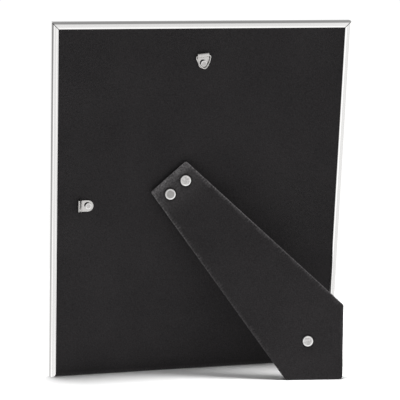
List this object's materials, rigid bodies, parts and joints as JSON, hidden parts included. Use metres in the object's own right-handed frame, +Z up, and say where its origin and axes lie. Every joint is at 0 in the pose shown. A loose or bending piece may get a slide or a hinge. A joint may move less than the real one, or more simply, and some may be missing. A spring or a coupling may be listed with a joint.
{
  "type": "easel back photo frame",
  "caption": "Picture frame with pressed silver rails, a slide-out velvet back, a folding diagonal easel strut on a ribbon stay, and ring hangers for wall hanging upright or sideways.",
  "frame": {"origin": "on the floor, midway between the front edge and the foot of the open strut, and midway between the sides", "axes": "+Z up, the picture faces -Y, the velvet back and its strut face +Y, and +X is to the left as seen from behind"},
  "size_m": [0.254, 0.0807, 0.3021],
  "materials": {
    "silver_plate": "polished silver plate on pressed steel",
    "gusset_steel": "bare rolled sheet",
    "liner_card": "grey board",
    "window_glass": "clear float glass",
    "print_paper": "plain photo paper",
    "hardboard": "pressed fibre board",
    "velvet": "short black pile",
    "lining_paper": "matte black paper",
    "hinge_steel": "zinc plated",
    "rivet_nickel": "nickel plated, satin",
    "hanger_steel": "nickel plated",
    "satin_ribbon": "black satin ribbon"
  },
  "bodies": {
    "frame": {"top_rail": "silver_plate", "left_rail": "silver_plate", "right_rail": "silver_plate", "bottom_rail": "silver_plate", "gusset_top_left": "gusset_steel", "gusset_top_right": "gusset_steel", "gusset_bottom_left": "gusset_steel", "gusset_bottom_right": "gusset_steel", "card_liner": "liner_card", "glass_pane": "window_glass", "photo_insert": "print_paper"},
    "back": {"back_board": "hardboard", "board_velvet": "velvet", "hinge_board_leaf": "hinge_steel", "hinge_pin": "hinge_steel", "hinge_board_rivets": "rivet_nickel", "stay_rivet": "rivet_nickel", "stay_ribbon": "satin_ribbon", "top_hanger_strap": "hanger_steel", "top_hanger_rivet": "rivet_nickel", "side_hanger_strap": "hanger_steel", "side_hanger_rivet": "rivet_nickel"},
    "strut": {"strut_board": "hardboard", "strut_velvet": "velvet", "strut_lining": "lining_paper", "hinge_strut_leaf": "hinge_steel", "strut_rivets": "rivet_nickel", "foot_rivet": "rivet_nickel"},
    "top_ring": {"top_hanger_ring": "hanger_steel"},
    "side_ring": {"side_hanger_ring": "hanger_steel"}
  },
  "joints": [
    {"name": "back_slide", "type": "slide", "parent": "frame", "child": "back", "axis": [0, -0.1564, -0.9877], "range_m": [0, 0.3]},
    {"name": "strut_fold", "type": "hinge", "parent": "back", "child": "strut", "pos_m": [0.02472, -0.00508, 0.16873], "axis": [-0.7479, 0.1038, 0.6557], "range_deg": [0, 17.5], "deforming": ["stay_ribbon"]},
    {"name": "top_ring_swing", "type": "hinge", "parent": "back", "child": "top_ring", "pos_m": [0.0009, 0.01082, 0.2731], "axis": [0.9945, -0.0164, -0.1032], "range_deg": [-0.5, 170]},
    {"name": "side_ring_swing", "type": "hinge", "parent": "back", "child": "side_ring", "pos_m": [0.1018, -0.00881, 0.14914], "axis": [0, -0.1564, -0.9877], "range_deg": [-89, 83]}
  ]
}
